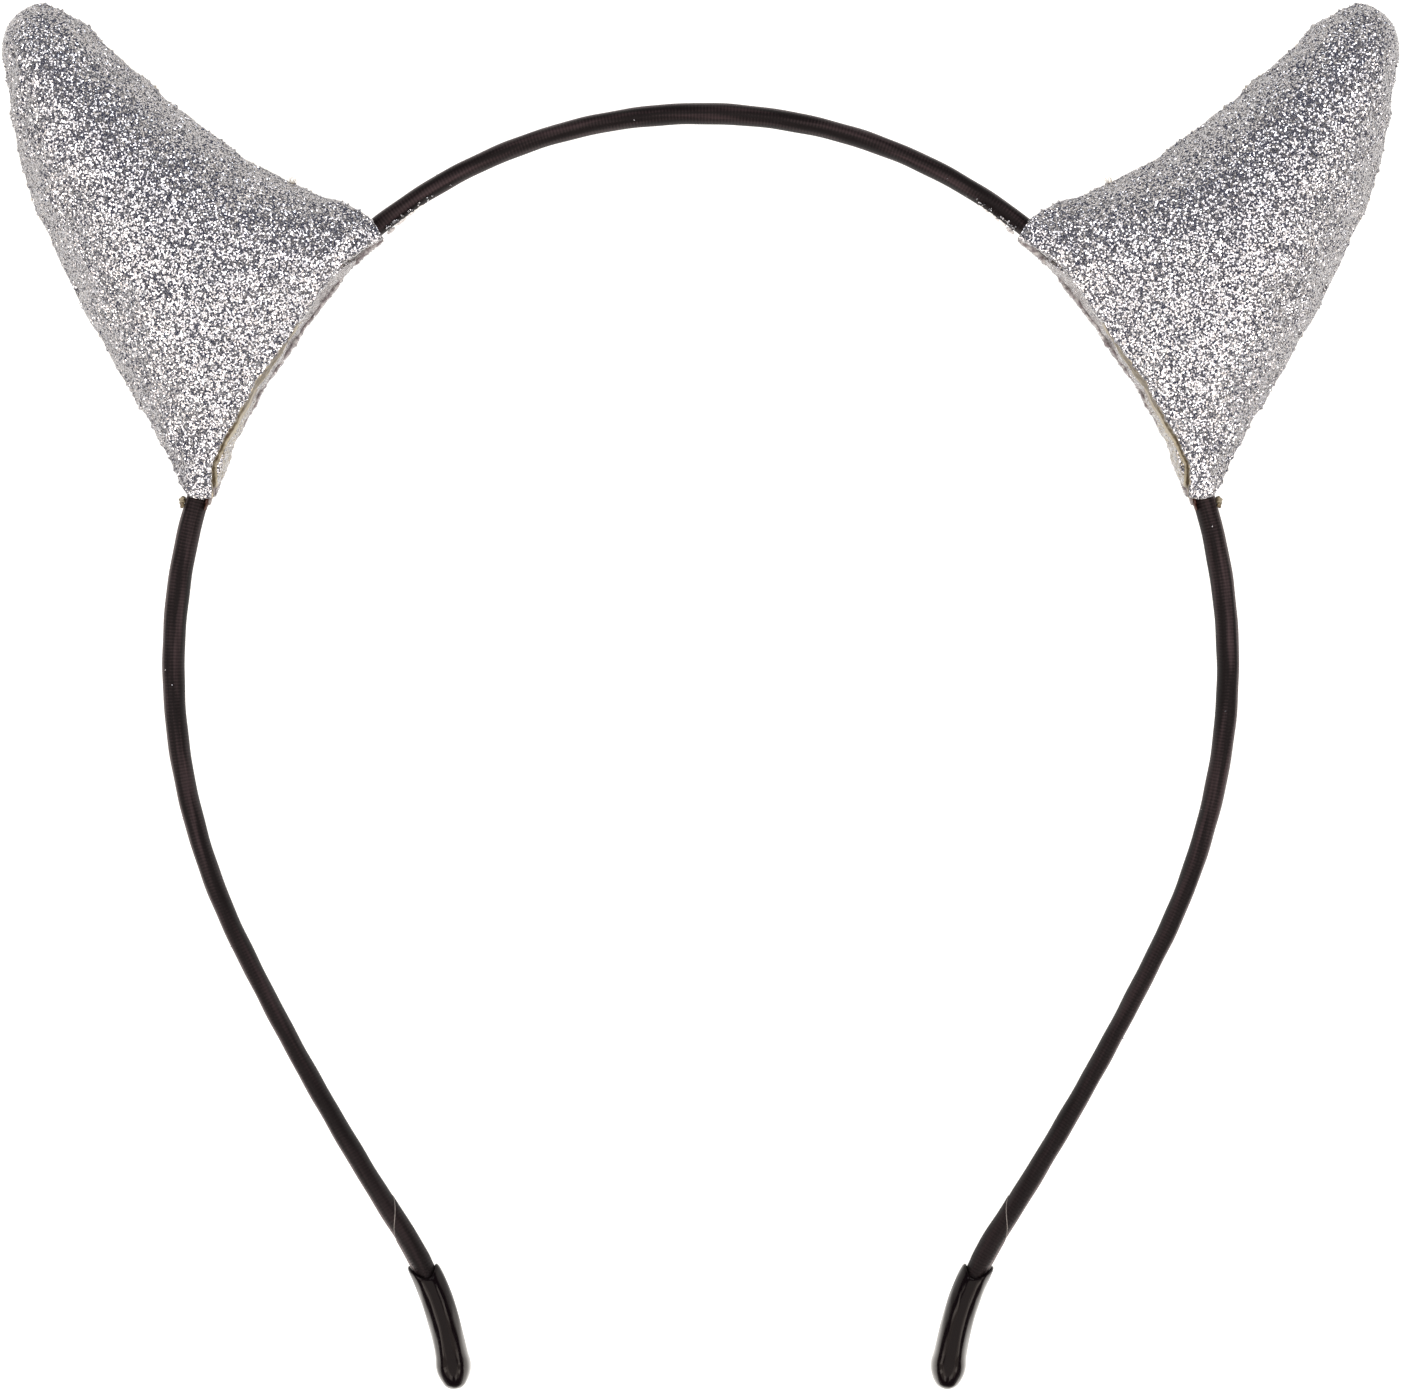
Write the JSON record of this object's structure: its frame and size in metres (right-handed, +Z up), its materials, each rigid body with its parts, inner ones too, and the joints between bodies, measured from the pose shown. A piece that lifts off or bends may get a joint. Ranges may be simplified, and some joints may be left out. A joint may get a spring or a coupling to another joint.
{
  "type": "devil horns headband",
  "caption": "Thin satin-wrapped headband with padded silver glitter cloth devil horns on the crown and dipped black tips on its ends, lying flat.",
  "frame": {"origin": "centre of the bounding box on the table top the headband lies on", "axes": "+X to the right as seen from the front of the horns, +Y from the open ends toward the crown, +Z up from the table, out of the front panels"},
  "size_m": [0.1688, 0.1678, 0.0164],
  "materials": {
    "satin": "fine ribbed satin ribbon",
    "dipped_plastic": "glossy dipped coat",
    "glitter_cloth": "silver glitter on a pale cloth backing",
    "wadding": "loose white fibre",
    "dried_glue": "dried, slightly amber"
  },
  "bodies": {
    "root": {"band": "satin", "tip_left": "dipped_plastic", "tip_right": "dipped_plastic", "horn_left_front": "glitter_cloth", "horn_left_back": "glitter_cloth", "horn_left_filling": "wadding", "horn_left_glue": "dried_glue", "horn_right_front": "glitter_cloth", "horn_right_back": "glitter_cloth", "horn_right_filling": "wadding", "horn_right_glue": "dried_glue"}
  },
  "joints": []
}
